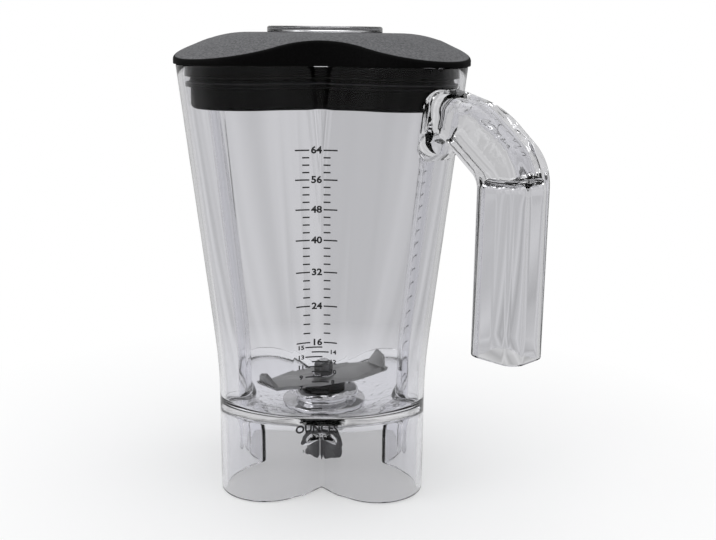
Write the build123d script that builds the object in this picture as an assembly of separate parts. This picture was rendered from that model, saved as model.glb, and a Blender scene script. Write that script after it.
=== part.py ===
"""A commercial blender jar with its cutter, lid and filler cap, in millimetres.

The jar stands on its skirt with the blade axis on +Z and the handle along +X.
"""
import os
from math import cos, radians, sin, sqrt, tan

from build123d import *

# Jar: half widths are taken across the flats, from the axis to the outside of two lobes
base_half_width = 57.4
rim_height = 237.0
waist_height = 72.0
waist_softness = 12.0
skirt_height = 52.0
flare_angle = 6.15
base_corner_radius = 26.0
rim_corner_radius = 34.0
base_flute_depth = 10.5
rim_flute_depth = 12.0
wall = 3.0
rim_rounding = 0.8

# Jar floor: a flat seat for the cutter, then a cone that climbs to the walls
floor_height = 38.0
floor_thickness = 3.5
floor_angle = 18.5
floor_seat_margin = 1.0

# Locating grooves round the skirt, one in each flute, with a domed top
groove_radius = 6.0
groove_sink = 2.1
groove_dome_drop = 2.0

# Handle: an arm from the top of one lobe that turns down into a hollow grip
finger_gap = 24.3
grip_depth = 30.7
grip_width = 27.0
grip_length = 104.4
grip_rounding = 8.0
grip_wall = 3.2
grip_hollow_drop = 15.4
grip_hollow_taper = 0.6
arm_drop = 12.5
arm_height = 22.1
outer_elbow_run = 35.0
outer_elbow_drop = 28.8
outer_elbow_upper_rounding = 54.0
outer_elbow_lower_rounding = 27.5
inner_elbow_run = 22.0
inner_elbow_drop = 17.7
inner_elbow_rounding = 8.0
root_pad_drop = 12.0
root_pad_rise = 2.0
root_pad_flare = 1.0
root_length = 9.0

# Lid: a soft moulding with a domed top, a hollow plug and one sealing fin
lid_overhang = 1.2
lid_rise = 16.0
lid_flat_radius = 42.0
lid_bow_radius = 64.0
lid_slope = 18.3
lid_edge_rounding = 2.0
lid_skin = 5.0
plug_depth = 22.0
plug_clearance = 3.2
plug_wall = 4.0
fin_drop = 11.0
fin_thickness = 2.4
fin_clearance = 0.35
filler_hole_radius = 27.0
filler_collar = 3.5
filler_collar_depth = 28.0

# Filler cap: a clear inverted cup that hangs in the lid by its rim
cap_rim_overlap = 4.7
cap_rim_height = 4.0
cap_wall = 2.2
cap_depth = 20.0
cap_clearance = 0.4
cap_rounding = 1.2

# Cutter housing: a turned flange and dome above the floor, a threaded tail below it
gasket_thickness = 1.0
gasket_inset = 1.0
flange_radius = 24.0
flange_thickness = 2.2
dome_radius = 19.5
dome_height = 7.8
dome_rounding = 3.0
waist_radius = 17.2
tail_radius = 11.0
tail_clearance = 0.15
tail_length = 14.0
tail_washer_thickness = 1.5
tail_washer_radius = 17.0
tail_nut_flats = 30.0
tail_nut_height = 6.5

# Rotor: ground shaft in two ball bearings
shaft_radius = 4.0
collar_radius = 5.0
bearing_outer_radius = 8.0
bearing_width = 5.0
bearing_gap = 5.0
ball_radius = 1.0
ball_count = 8
ball_clearance = 0.04
ring_clearance = 0.75
housing_lip = 2.0
housing_lip_radius = 5.9
seal_clearance = 0.06
circlip_thickness = 1.0
circlip_width = 1.6
circlip_groove_depth = 0.6
circlip_gap_angle = 40.0

# Cutter stack above the housing
slinger_radius = 14.8
slinger_height = 4.0
slinger_gap = 0.9
blade_thickness = 2.0
blade_half_length = 36.5
blade_half_width = 14.0
blade_end_front = 5.5
blade_end_back = 10.5
blade_end_rake = 5.0
blade_bevel_width = 3.0
blade_bevel_depth = 1.4
winglet_length = 11.0
winglet_angle = 58.0
blade_turn = 72.0
blade_hole_flat = 3.2
blade_washer_radius = 7.2
blade_washer_thickness = 1.0
blade_nut_flats = 11.0
blade_nut_height = 6.5
shaft_stud_radius = 3.0
shaft_stud_proud = 1.5

# Drive clutch on the lower end of the shaft
shaft_spacer_length = 4.0
clutch_height = 17.0
clutch_radius = 9.7
clutch_socket_depth = 9.0
clutch_socket_radius = 6.2
clutch_spline_count = 6
clutch_spline_radius = 1.6
shaft_screw_depth = 7.0


def jar_half_width(height):
    """Half width of the jar's outside: a straight skirt that bends into a straight flare."""
    def rise(level):
        above_waist = level - waist_height
        return (above_waist + sqrt(above_waist**2 + waist_softness**2)) / 2

    flare = sin(radians(flare_angle)) / cos(radians(flare_angle))
    return base_half_width + flare * (rise(max(height, skirt_height)) - rise(skirt_height))


def blend(bottom_value, top_value, height):
    """A value that changes evenly from the top of the skirt to the rim."""
    share = max(height - skirt_height, 0) / (rim_height - skirt_height)
    return bottom_value + (top_value - bottom_value) * share


def fluted_outline(height, inset=0.0):
    """The jar's section at a height, set in by an amount: four round lobes and four flutes."""
    half_width = jar_half_width(height) - inset
    corner = blend(base_corner_radius, rim_corner_radius, height) - inset
    depth = blend(base_flute_depth, rim_flute_depth, height)
    lobe = half_width - corner
    valley = half_width - depth
    hollow = (valley**2 - 2 * lobe * valley + 2 * lobe**2 - corner**2) / (2 * depth)
    lobe_centre = Vector(lobe * sqrt(2), 0, height)
    flute_centre = Vector(valley + hollow, 0, height).rotate(Axis.Z, 45)
    meeting = lobe_centre + (flute_centre - lobe_centre).normalized() * corner
    mirrored = Vector(meeting.X, -meeting.Y, height)
    tip = lobe_centre + Vector(corner, 0, 0)
    bottom_of_flute = Vector(valley, 0, height).rotate(Axis.Z, 45)
    arcs = []
    for turn in range(0, 360, 90):
        start, end = mirrored.rotate(Axis.Z, turn), meeting.rotate(Axis.Z, turn)
        following = mirrored.rotate(Axis.Z, turn + 90)
        arcs.append(ThreePointArc(start, tip.rotate(Axis.Z, turn), end))
        arcs.append(ThreePointArc(end, bottom_of_flute.rotate(Axis.Z, turn), following))
    return Face(Wire(arcs))


def corner_reach(height):
    """Distance from the axis to the outside of a lobe at a height."""
    corner = blend(base_corner_radius, rim_corner_radius, height)
    return (jar_half_width(height) - corner) * sqrt(2) + corner


def fluted_column(section_height, bottom, top, inset):
    """A straight column with the jar's section at one height, between two levels."""
    section = fluted_outline(section_height, inset)
    column = extrude(section, amount=top - bottom, dir=(0, 0, 1))
    return Pos(0, 0, bottom - section_height) * column


def flared_body(inset, top_extra=0.0):
    """The flared part of the jar above its skirt, as one smooth loft."""
    stations = 8
    heights = [skirt_height + (rim_height + top_extra - skirt_height) * step / stations
               for step in range(stations + 1)]
    return loft([fluted_outline(height, inset) for height in heights])


def ring(outer, inner, bottom, height):
    """A plain ring about the blade axis."""
    disc = Pos(0, 0, bottom) * extrude(Circle(outer), amount=height, dir=(0, 0, 1))
    hole = Pos(0, 0, bottom) * extrude(Circle(inner), amount=height, dir=(0, 0, 1))
    return disc - hole


def turned(points):
    """A solid turned about the blade axis from a half section of straight lines."""
    return revolve(Plane.XZ * make_face(Polyline(*points, close=True)), Axis.Z)


def groove_capsules(radius):
    """The four locating grooves as upright posts with round tops, at a given radius."""
    depth = floor_height - groove_dome_drop
    reach = base_half_width - base_flute_depth - groove_sink
    post = extrude(Circle(radius), amount=depth, dir=(0, 0, 1)) + Pos(0, 0, depth) * Sphere(radius)
    return [Rot(0, 0, 45 + turn) * Pos(reach, 0, 0) * post for turn in range(0, 360, 90)]


def floor_line(radius, drop):
    """Height of the floor at a radius, lowered by an amount."""
    climb = max(radius - floor_seat_radius, 0) * sin(radians(floor_angle)) / cos(radians(floor_angle))
    return floor_height + climb - drop


# Levels and reaches that follow from the rim and the cutter's flange
floor_seat_radius = flange_radius + floor_seat_margin
arm_top = rim_height - arm_drop
arm_bottom = arm_top - arm_height
grip_bottom = arm_bottom - grip_length
grip_inner = corner_reach(rim_height) + finger_gap
grip_outer = grip_inner + grip_depth
lid_top = rim_height + lid_rise
plug_bottom = rim_height - plug_depth


def make_handle():
    """The handle as one solid: a flared root, an arm, an elbow and a grip hollowed from below."""
    root = corner_reach(arm_top)
    inside = root - 2 * wall
    outer_upper = (grip_outer - outer_elbow_run, arm_top)
    outer_lower = (grip_outer, arm_top - outer_elbow_drop)
    inner_upper = (grip_inner - inner_elbow_run, arm_bottom)
    inner_lower = (grip_inner, arm_bottom - inner_elbow_drop)
    side = make_face(Polyline((inside, arm_top), outer_upper, outer_lower, (grip_outer, grip_bottom),
                              (grip_inner, grip_bottom), inner_lower, inner_upper, (inside, arm_bottom),
                              close=True))
    bends = {outer_upper: outer_elbow_upper_rounding, outer_lower: outer_elbow_lower_rounding,
             inner_upper: inner_elbow_rounding, inner_lower: inner_elbow_rounding}
    for bend, radius in bends.items():
        side = fillet(side.vertices().sort_by_distance(Vector(*bend))[0], radius)
    body = extrude(Plane.XZ * side, amount=grip_width / 2, both=True)
    long_edges = [edge for edge in body.edges() if abs(abs(edge.center().Y) - grip_width / 2) < 0.01
                  and edge.center().X > inside + 0.01 and edge.center().Z > grip_bottom + 0.01]
    body = fillet(long_edges, grip_rounding)

    def arm_section(distance, drop, rise, flare):
        outline = RectangleRounded(grip_width + 2 * flare, arm_height + drop + rise, grip_rounding)
        middle = (arm_top + rise + arm_bottom - drop) / 2
        return Plane((distance, 0, middle), x_dir=(0, 1, 0), z_dir=(1, 0, 0)) * outline

    pad_sections = [arm_section(distance, root_pad_drop, root_pad_rise, root_pad_flare) for distance in (root, inside)]
    body += loft([arm_section(root + root_length, 0, 0, 0)] + pad_sections, ruled=True)
    hollow = RectangleRounded(grip_depth - 2 * grip_wall, grip_width - 2 * grip_wall, grip_rounding - grip_wall)
    hollow = extrude(hollow, amount=grip_length - grip_hollow_drop, dir=(0, 0, 1), taper=grip_hollow_taper)
    return body - Pos((grip_inner + grip_outer) / 2, 0, grip_bottom) * hollow


def make_jar():
    """The jar in one clear moulding: walls, conical floor, skirt with grooves, and handle."""
    beyond = 2 * rim_height
    above_floor = turned([(0, floor_height), (floor_seat_radius, floor_height),
                          (beyond, floor_line(beyond, 0)), (beyond, 2 * beyond), (0, 2 * beyond)])
    below_floor = turned([(0, -1), (beyond, -1), (beyond, floor_line(beyond, floor_thickness)),
                          (floor_seat_radius, floor_height - floor_thickness),
                          (0, floor_height - floor_thickness)])
    inside = fluted_column(0, floor_height - 1, skirt_height, wall) + flared_body(wall)
    inside = inside & above_floor
    under = fluted_column(0, -1, skirt_height + 1, wall) & below_floor
    for post in groove_capsules(groove_radius + wall):
        inside -= post
        under -= post
    jar = fluted_column(0, 0, skirt_height, 0) + flared_body(0) + make_handle()
    jar -= inside
    jar -= under
    for post in groove_capsules(groove_radius):
        jar -= post
    jar -= Pos(0, 0, floor_height) * Cylinder(tail_radius + tail_clearance, 4 * floor_thickness)
    rim_edges = [edge for edge in jar.edges() if abs(edge.center().Z - rim_height) < 0.01]
    return fillet(rim_edges, rim_rounding)


def make_lid():
    """The lid: a domed top with the jar's outline, a hollow plug with a fin, and a filler collar."""
    flange = fluted_column(rim_height, rim_height, lid_top + 1, -lid_overhang)
    bow_end = lid_flat_radius + lid_bow_radius * sin(radians(lid_slope))
    bow_level = lid_top - lid_bow_radius * (1 - cos(radians(lid_slope)))
    reach = 2 * corner_reach(rim_height)
    slope_end = bow_level - (reach - bow_end) * tan(radians(lid_slope))
    under = plug_bottom - reach
    dome_side = [
        Line((0, under), (0, lid_top)),
        Line((0, lid_top), (lid_flat_radius, lid_top)),
        TangentArc((lid_flat_radius, lid_top), (bow_end, bow_level), tangent=(1, 0)),
        Line((bow_end, bow_level), (reach, slope_end)),
        Line((reach, slope_end), (reach, under)),
        Line((reach, under), (0, under)),
    ]
    dome = revolve(Plane.XZ * make_face(dome_side), Axis.Z)
    lid = flange & dome
    curved_edges = lid.edges().filter_by(GeomType.LINE, reverse=True).filter_by(GeomType.CIRCLE, reverse=True)
    top_edges = [edge for edge in curved_edges if edge.center().Z > rim_height + 1]
    lid = fillet(top_edges, lid_edge_rounding)
    plug_inset = wall + plug_clearance
    lid += fluted_column(plug_bottom, plug_bottom, rim_height, plug_inset)
    fin_bottom = rim_height - fin_drop
    lid += fluted_column(fin_bottom, fin_bottom, fin_bottom + fin_thickness, wall + fin_clearance)
    under_skin = Pos(0, 0, -lid_skin) * dome
    lid -= fluted_column(plug_bottom, plug_bottom, lid_top, plug_inset + plug_wall) & under_skin
    collar_bottom = lid_top - filler_collar_depth
    lid += ring(filler_hole_radius + filler_collar, filler_hole_radius, collar_bottom, lid_top - collar_bottom)
    return lid - Pos(0, 0, lid_top) * Cylinder(filler_hole_radius, 4 * filler_collar_depth)


def make_filler_cap():
    """The clear filler cap: a rim that rests on the lid and a cup wall that hangs in the hole."""
    outside = filler_hole_radius - cap_clearance
    cap = extrude(Circle(filler_hole_radius + cap_rim_overlap), amount=cap_rim_height, dir=(0, 0, 1))
    cap = Pos(0, 0, lid_top) * cap
    top_edge = cap.edges().group_by(Axis.Z)[-1]
    cap = fillet(top_edge, cap_rounding)
    cap += Pos(0, 0, lid_top - cap_depth) * extrude(Circle(outside), amount=cap_depth, dir=(0, 0, 1))
    hollow = Circle(outside - cap_wall)
    hollow_height = cap_depth + cap_rim_height - cap_wall
    return cap - Pos(0, 0, lid_top - cap_depth) * extrude(hollow, amount=hollow_height, dir=(0, 0, 1))


# Levels of the cutter, from the floor seat upwards and downwards
housing_seat = floor_height + gasket_thickness
housing_top = housing_seat + flange_thickness + dome_height
tail_end = floor_height - tail_length
upper_bearing_bottom = tail_end + circlip_thickness * 2 + bearing_width + bearing_gap
lower_bearing_bottom = upper_bearing_bottom - bearing_gap - bearing_width
collar_bottom = upper_bearing_bottom + bearing_width
seal_bottom = collar_bottom + housing_lip
slinger_bottom = housing_top + slinger_gap
blade_bottom = slinger_bottom + slinger_height
blade_top = blade_bottom + blade_thickness
blade_nut_bottom = blade_top + blade_washer_thickness
stud_top = blade_nut_bottom + blade_nut_height + shaft_stud_proud
clutch_top = lower_bearing_bottom - shaft_spacer_length
clutch_bottom = clutch_top - clutch_height
ball_path = (bearing_outer_radius + shaft_radius) / 2


def make_housing():
    """The turned cutter housing, bored for the two bearings and the shaft seal."""
    flange_top = housing_seat + flange_thickness
    body = turned([(0, tail_end), (tail_radius, tail_end), (tail_radius, housing_seat),
                   (flange_radius, housing_seat), (flange_radius, flange_top), (waist_radius, flange_top + 1.4),
                   (waist_radius, flange_top + 2.4), (dome_radius, flange_top + 3.4), (dome_radius, housing_top),
                   (0, housing_top)])
    shoulder = [edge for edge in body.edges().filter_by(GeomType.CIRCLE)
                if abs(edge.radius - dome_radius) < 0.01 and abs(edge.center().Z - housing_top) < 0.01]
    body = fillet(shoulder, dome_rounding)
    bore = turned([(0, tail_end - 1), (bearing_outer_radius, tail_end - 1), (bearing_outer_radius, collar_bottom),
                   (housing_lip_radius, collar_bottom), (housing_lip_radius, seal_bottom),
                   (bearing_outer_radius, seal_bottom), (bearing_outer_radius, housing_top + 1),
                   (0, housing_top + 1)])
    groove = ring(bearing_outer_radius + circlip_groove_depth, bearing_outer_radius - 1,
                  lower_bearing_bottom - circlip_thickness, circlip_thickness)
    return body - bore - groove


def make_bearing(bottom):
    """One ball bearing: its outer ring, its inner ring and its balls, in that order."""
    middle = bottom + bearing_width / 2
    track = Pos(0, 0, middle) * Torus(ball_path, ball_radius + ball_clearance)
    outer = ring(bearing_outer_radius, ball_path + ring_clearance, bottom, bearing_width) - track
    inner = ring(ball_path - ring_clearance, shaft_radius, bottom, bearing_width) - track
    balls = [Rot(0, 0, 360 / ball_count * step) * Pos(ball_path, 0, middle) * Sphere(ball_radius)
             for step in range(ball_count)]
    return outer, inner, Compound(children=balls)


def make_circlip():
    """The snap ring that holds the bearings up in the housing, open on one side."""
    outer = bearing_outer_radius + circlip_groove_depth
    bottom = lower_bearing_bottom - circlip_thickness
    clip = ring(outer, bearing_outer_radius - circlip_width, bottom, circlip_thickness)
    reach = 2 * outer
    half_gap = radians(circlip_gap_angle / 2)
    gap = make_face(Polyline((0, 0), (reach * cos(half_gap), reach * sin(half_gap)),
                             (reach * cos(half_gap), -reach * sin(half_gap)), close=True))
    return clip - Pos(0, 0, bottom) * extrude(gap, amount=circlip_thickness, dir=(0, 0, 1))


def make_shaft():
    """The rotor shaft: a plain journal, a collar under the stack, blade flats and a stud."""
    bottom = clutch_top - shaft_screw_depth
    journal = turned([(0, bottom), (shaft_radius, bottom), (shaft_radius, collar_bottom),
                      (collar_radius, collar_bottom), (collar_radius, slinger_bottom),
                      (shaft_radius, slinger_bottom), (shaft_radius, blade_top), (shaft_stud_radius, blade_top),
                      (shaft_stud_radius, stud_top), (0, stud_top)])
    flat = Box(shaft_radius, 2 * shaft_radius, blade_thickness)
    for side in (-1, 1):
        offset = side * (blade_hole_flat + shaft_radius / 2)
        journal -= Rot(0, 0, blade_turn) * Pos(offset, 0, blade_bottom + blade_thickness / 2) * flat
    return journal


def make_blade():
    """The blade: a flat bow-tie plate with a bent-up winglet at each raked end."""
    front = (blade_half_length + blade_end_rake / 2, -blade_end_front)
    back = (blade_half_length - blade_end_rake / 2, blade_end_back)
    shoulder_front = (blade_half_length / 3, -blade_half_width)
    shoulder_back = (blade_half_length / 4, blade_half_width)
    fold = Vector(*back) - Vector(*front)
    ground = Vector(*front) + fold.normalized() * blade_bevel_width
    lower_half = [shoulder_front, front, back, shoulder_back]
    upper_half = [shoulder_front, (ground.X, ground.Y), back, shoulder_back]

    def plate_outline(half, level):
        outline = half + [(-x, -y) for x, y in half]
        return Pos(0, 0, level) * make_face(Polyline(*outline, close=True))

    bevel_bottom = blade_thickness - blade_bevel_depth
    plate = extrude(plate_outline(lower_half, 0), amount=bevel_bottom, dir=(0, 0, 1))
    plate += loft([plate_outline(lower_half, bevel_bottom), plate_outline(upper_half, blade_thickness)], ruled=True)
    winglet_plane = Plane((front[0], front[1], 0), x_dir=(fold.X, fold.Y, 0), z_dir=(0, 0, 1))
    tab = make_face(Polyline((0, 0), (fold.length, 0), (fold.length * 0.75, -winglet_length),
                             (fold.length * 0.35, -winglet_length * 0.8), close=True))
    tab = extrude(tab, amount=blade_thickness, dir=(0, 0, 1))
    tab = Rot(-winglet_angle, 0, 0) * tab
    bend = Rot(0, 90, 0) * Cylinder(blade_thickness, fold.length, align=(Align.CENTER, Align.CENTER, Align.MIN))
    bend = Pos(0, 0, blade_thickness) * bend
    above_plate = Pos(0, 0, blade_thickness) * Box(fold.length, 4 * blade_thickness, 4 * blade_thickness,
                                                   align=(Align.MIN, Align.CENTER, Align.MIN))
    winglet = winglet_plane * (tab + (bend - above_plate))
    plate += winglet
    plate += Rot(0, 0, 180) * winglet
    hole = Circle(shaft_radius) & Rectangle(2 * blade_hole_flat, 4 * shaft_radius)
    plate -= extrude(hole, amount=blade_thickness, dir=(0, 0, 1))
    return Pos(0, 0, blade_bottom) * Rot(0, 0, blade_turn) * plate


def make_hex_nut(flats, hole, bottom, height):
    """A hexagon nut with its upper corners rounded off by a cone."""
    corner = flats / sqrt(3)
    nut = extrude(RegularPolygon(corner, 6), amount=height, dir=(0, 0, 1))
    crown = turned([(0, 0), (corner, 0), (corner, height - corner * 0.12), (corner * 0.86, height), (0, height)])
    nut = (nut & crown) - extrude(Circle(hole), amount=height, dir=(0, 0, 1))
    return Pos(0, 0, bottom) * nut


def make_clutch():
    """The drive clutch: a stepped coupling screwed on the shaft, with a splined socket below."""
    neck = bearing_outer_radius - 1
    body = turned([(0, clutch_bottom), (clutch_radius - 1, clutch_bottom), (clutch_radius, clutch_bottom + 1),
                   (clutch_radius, clutch_top - 3), (neck, clutch_top), (0, clutch_top)])
    socket = Circle(clutch_socket_radius)
    for step in range(clutch_spline_count):
        angle = radians(360 / clutch_spline_count * step)
        spot = Pos(clutch_socket_radius * cos(angle), clutch_socket_radius * sin(angle))
        socket += spot * Circle(clutch_spline_radius)
    body -= Pos(0, 0, clutch_bottom) * extrude(socket, amount=clutch_socket_depth, dir=(0, 0, 1))
    screw_hole = Circle(shaft_radius)
    screw_bottom = clutch_top - shaft_screw_depth
    return body - Pos(0, 0, screw_bottom) * extrude(screw_hole, amount=shaft_screw_depth, dir=(0, 0, 1))


upper_outer, upper_inner, upper_balls = make_bearing(upper_bearing_bottom)
lower_outer, lower_inner, lower_balls = make_bearing(lower_bearing_bottom)
seal_top = housing_top - seal_clearance
washer_bottom = floor_height - floor_thickness - tail_washer_thickness

pieces = {
    "jar": make_jar(),
    "lid": make_lid(),
    "filler_cap": make_filler_cap(),
    "housing_gasket": ring(flange_radius - gasket_inset, tail_radius + tail_clearance,
                           floor_height, gasket_thickness),
    "bearing_housing": make_housing(),
    "shaft_seal": ring(bearing_outer_radius, collar_radius + seal_clearance, seal_bottom, seal_top - seal_bottom),
    "upper_bearing_outer_ring": upper_outer,
    "upper_bearing_inner_ring": upper_inner,
    "upper_bearing_balls": upper_balls,
    "bearing_spacer": ring(ball_path - ring_clearance, shaft_radius,
                           lower_bearing_bottom + bearing_width, bearing_gap),
    "lower_bearing_outer_ring": lower_outer,
    "lower_bearing_inner_ring": lower_inner,
    "lower_bearing_balls": lower_balls,
    "retaining_ring": make_circlip(),
    "tail_washer": ring(tail_washer_radius, tail_radius, washer_bottom, tail_washer_thickness),
    "tail_nut": make_hex_nut(tail_nut_flats, tail_radius, washer_bottom - tail_nut_height, tail_nut_height),
    "shaft": make_shaft(),
    "shaft_spacer": ring(ball_path - ring_clearance, shaft_radius, clutch_top, shaft_spacer_length),
    "drive_clutch": make_clutch(),
    "slinger": ring(slinger_radius, shaft_radius, slinger_bottom, slinger_height),
    "blade": make_blade(),
    "blade_washer": ring(blade_washer_radius, shaft_stud_radius, blade_top, blade_washer_thickness),
    "blade_nut": make_hex_nut(blade_nut_flats, shaft_stud_radius, blade_nut_bottom, blade_nut_height),
}

os.makedirs("parts", exist_ok=True)
for name, solid in pieces.items():
    export_step(solid, f"parts/{name}.step")
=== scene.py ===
from math import acos, asin, atan2, cos, hypot, pi, radians, sin, sqrt, tan

import bpy
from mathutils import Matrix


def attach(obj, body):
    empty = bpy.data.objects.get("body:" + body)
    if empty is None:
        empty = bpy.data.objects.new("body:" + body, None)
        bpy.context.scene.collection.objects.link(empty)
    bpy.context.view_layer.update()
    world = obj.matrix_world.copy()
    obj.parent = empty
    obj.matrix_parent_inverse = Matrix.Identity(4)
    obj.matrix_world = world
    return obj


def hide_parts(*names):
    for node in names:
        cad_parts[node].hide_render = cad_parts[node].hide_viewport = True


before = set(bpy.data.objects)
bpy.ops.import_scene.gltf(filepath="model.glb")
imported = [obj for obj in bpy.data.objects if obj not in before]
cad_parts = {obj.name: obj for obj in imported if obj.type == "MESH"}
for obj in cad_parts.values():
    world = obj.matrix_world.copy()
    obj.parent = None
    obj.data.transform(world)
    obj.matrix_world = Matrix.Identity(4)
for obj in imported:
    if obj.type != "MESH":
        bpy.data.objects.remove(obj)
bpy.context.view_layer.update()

# Jar: one clear copolyester moulding with four lobes and four flutes, flaring from a straight skirt to a
# wider rim. Its conical floor, left a small step by the mould's core, carries the cutter. Four grooves in
# the skirt, each a rounded V with an arched top, locate it on the motor base.
MM = 0.001
jar_rim = 237.0
jar_wall = 3.0
skirt_top = 52.0
skirt_half_width = 57.4
waist_level = 72.0
waist_soft = 12.0
wall_flare = tan(radians(6.15))
lobe_corner = 26.0
lobe_corner_growth = 8.0
flute_depth = 10.5
flute_depth_growth = 1.5
edge_round = 0.8
seat_radius = 25.0
seat_middle = 18.0
seat_level = 38.0
floor_thick = 3.5
floor_slope = tan(radians(18.5))
floor_fillet = 3.5
fillet_steps = 9
core_step = 0.35
under_fillet = 2.0
tail_hole = 11.15
groove_reach = 38.3
groove_round = 0.8
groove_flank = radians(40)
groove_depth = 9.2
groove_arch = 29.5
groove_arch_rise = 3.5
groove_soft = 2.5
groove_span = 12.5
columns_on_groove = 13
column_crowding = 1.4
columns_on_flute = 6
columns_on_lobe = 12
rows_inside = 40
rows_on_floor = 14
rows_under_floor = 10
rows_in_skirt = 12


def jar_section(height, inset):
    """Reach and radius of the lobes, then of the flutes, in the jar's section at a height."""
    def rise(level):
        above_waist = level - waist_level
        return (above_waist + hypot(above_waist, waist_soft)) / 2

    above_skirt = max(height, skirt_top)
    share = (above_skirt - skirt_top) / (jar_rim - skirt_top)
    half_width = skirt_half_width + wall_flare * (rise(above_skirt) - rise(skirt_top))
    corner = lobe_corner + lobe_corner_growth * share
    depth = flute_depth + flute_depth_growth * share
    lobe = half_width - corner
    valley = half_width - depth
    hollow = (valley ** 2 - 2 * lobe * valley + 2 * lobe ** 2 - corner ** 2) / (2 * depth)
    return lobe * sqrt(2), corner - inset, valley + hollow, hollow + inset


def groove_face(across, height, inset):
    """How far out a locating groove reaches in, at a place across it: a rounded V with an arched top."""
    bottom = groove_round + inset
    over_arch = max(height - groove_arch, 0.0) / (groove_arch_rise + inset)
    closing = groove_depth * (1 - sqrt(1 - over_arch ** 2)) if over_arch < 1 else 2 * groove_depth
    centre = groove_reach + groove_round + closing
    if across < bottom * cos(groove_flank):
        return centre - sqrt(bottom ** 2 - across ** 2)
    return centre - bottom / sin(groove_flank) + across / tan(groove_flank)


def jar_outline(height, inset, grooved):
    """One ring of points round the jar, on columns that follow the grooves, the flutes and the lobes."""
    lobe_at, lobe_radius, flute_at, flute_radius = jar_section(height, inset)
    lobe_turn = atan2(flute_at / sqrt(2), flute_at / sqrt(2) - lobe_at)
    first_turn, last_turn = asin(groove_span / flute_radius), lobe_turn - pi / 4
    half_flute = []
    for step in range(columns_on_groove):
        across = groove_span * (step / columns_on_groove) ** column_crowding
        flute_face = flute_at - sqrt(flute_radius ** 2 - across ** 2)
        groove = groove_face(across, height, inset) if grooved else 2 * flute_at
        soft = max(groove_soft - abs(groove - flute_face), 0.0)
        half_flute.append((min(groove, flute_face) - soft ** 2 / (4 * groove_soft), across))
    for step in range(columns_on_flute):
        turn = first_turn + (last_turn - first_turn) * step / columns_on_flute
        half_flute.append((flute_at - flute_radius * cos(turn), flute_radius * sin(turn)))
    lobe_arc = []
    for step in range(2 * columns_on_lobe + 1):
        turn = lobe_turn * (step / columns_on_lobe - 1)
        lobe_arc.append((lobe_at + lobe_radius * cos(turn), lobe_radius * sin(turn)))
    ring = []
    for quarter in range(4):
        middle = quarter * pi / 2
        points = [(middle - pi / 4, along, across) for along, across in half_flute]
        points += [(middle, along, across) for along, across in lobe_arc]
        points += [(middle + pi / 4, along, -across) for along, across in reversed(half_flute[1:])]
        for turn, along, across in points:
            ring.append((along * cos(turn) - across * sin(turn),
                         along * sin(turn) + across * cos(turn), height))
    return ring


def wall_points(levels, inset, grooved):
    """A function that gives the point of any column of the wall at any height."""
    outlines = [jar_outline(level, inset, grooved) for level in levels]

    def point(column, height):
        place = 0
        while place < len(levels) - 2 and levels[place + 1] < height:
            place += 1
        share = min(max((height - levels[place]) / (levels[place + 1] - levels[place]), 0.0), 1.0)
        low, high = outlines[place][column], outlines[place + 1][column]
        return low[0] + (high[0] - low[0]) * share, low[1] + (high[1] - low[1]) * share, height

    return point


def floor_level(across, along):
    """Height of the inside of the floor: a flat seat for the cutter and a cone round it."""
    return seat_level + floor_slope * max(hypot(across, along) - seat_radius, 0.0)


def under_level(radius):
    """Height of the underside of the floor at a radius."""
    return seat_level - floor_thick + floor_slope * max(radius - seat_radius, 0.0)


def scaled_to(point, radius, height):
    """A point moved along its own radius to another distance from the axis and another height."""
    reach = hypot(point[0], point[1])
    return point[0] * radius / reach, point[1] * radius / reach, height


def skin_over(name, rings, ends=None):
    """A closed skin over rings of points, from a torus, or from a sphere when two end points close it."""
    bpy.ops.object.select_all(action="DESELECT")
    around, rows = len(rings[0]), len(rings)
    if ends is None:
        bpy.ops.mesh.primitive_torus_add(major_segments=around, minor_segments=rows, location=(0, 0, 0))
    else:
        bpy.ops.mesh.primitive_uv_sphere_add(segments=around, ring_count=rows + 1, location=(0, 0, 0))
    piece = bpy.context.object
    piece.name = name
    piece.data.name = name
    for vertex in piece.data.vertices:
        if ends is None:
            place = rings[vertex.index % rows][vertex.index // rows]
        elif abs(vertex.co.z) > 0.999999:
            place = ends[0] if vertex.co.z > 0 else ends[1]
        else:
            row = round(acos(vertex.co.z) / pi * (rows + 1)) - 1
            place = rings[row][round(atan2(vertex.co.y, vertex.co.x) / (2 * pi) * around) % around]
        vertex.co = [value * MM for value in place]
    bpy.ops.object.mode_set(mode="EDIT")
    bpy.ops.mesh.select_all(action="SELECT")
    bpy.ops.mesh.normals_make_consistent(inside=False)
    bpy.ops.object.mode_set(mode="OBJECT")
    bpy.ops.object.shade_smooth_by_angle(angle=radians(40))
    return piece


def quarter_round(radius, steps=4):
    """Set-back and drop along a rounded edge, from its side to its end face."""
    turns = [pi / 2 * step / steps for step in range(steps + 1)]
    return [(radius * (1 - cos(turn)), radius * (1 - sin(turn))) for turn in turns]


rounding = quarter_round(edge_round)
arch_levels = [groove_arch + groove_arch_rise * sin(radians(turn)) for turn in range(0, 85, 7)]
skirt_levels = [6.0, 12.0, 18.0, 24.0] + arch_levels + [40.0, 42.0, 45.0, 48.0, skirt_top]
waist_levels = [skirt_top + 4.0 * step for step in range(1, 16)]
body_levels = waist_levels + [waist_levels[-1] + 6.2 * step for step in range(1, 20)]
jar_rings = [jar_outline(drop, back, True) for back, drop in reversed(rounding)]
jar_rings += [jar_outline(level, 0.0, True) for level in skirt_levels + body_levels]
jar_rings += [jar_outline(jar_rim - drop, back, True) for back, drop in rounding]
jar_rings += [jar_outline(jar_rim - drop, jar_wall - back, False) for back, drop in reversed(rounding)]

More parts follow.
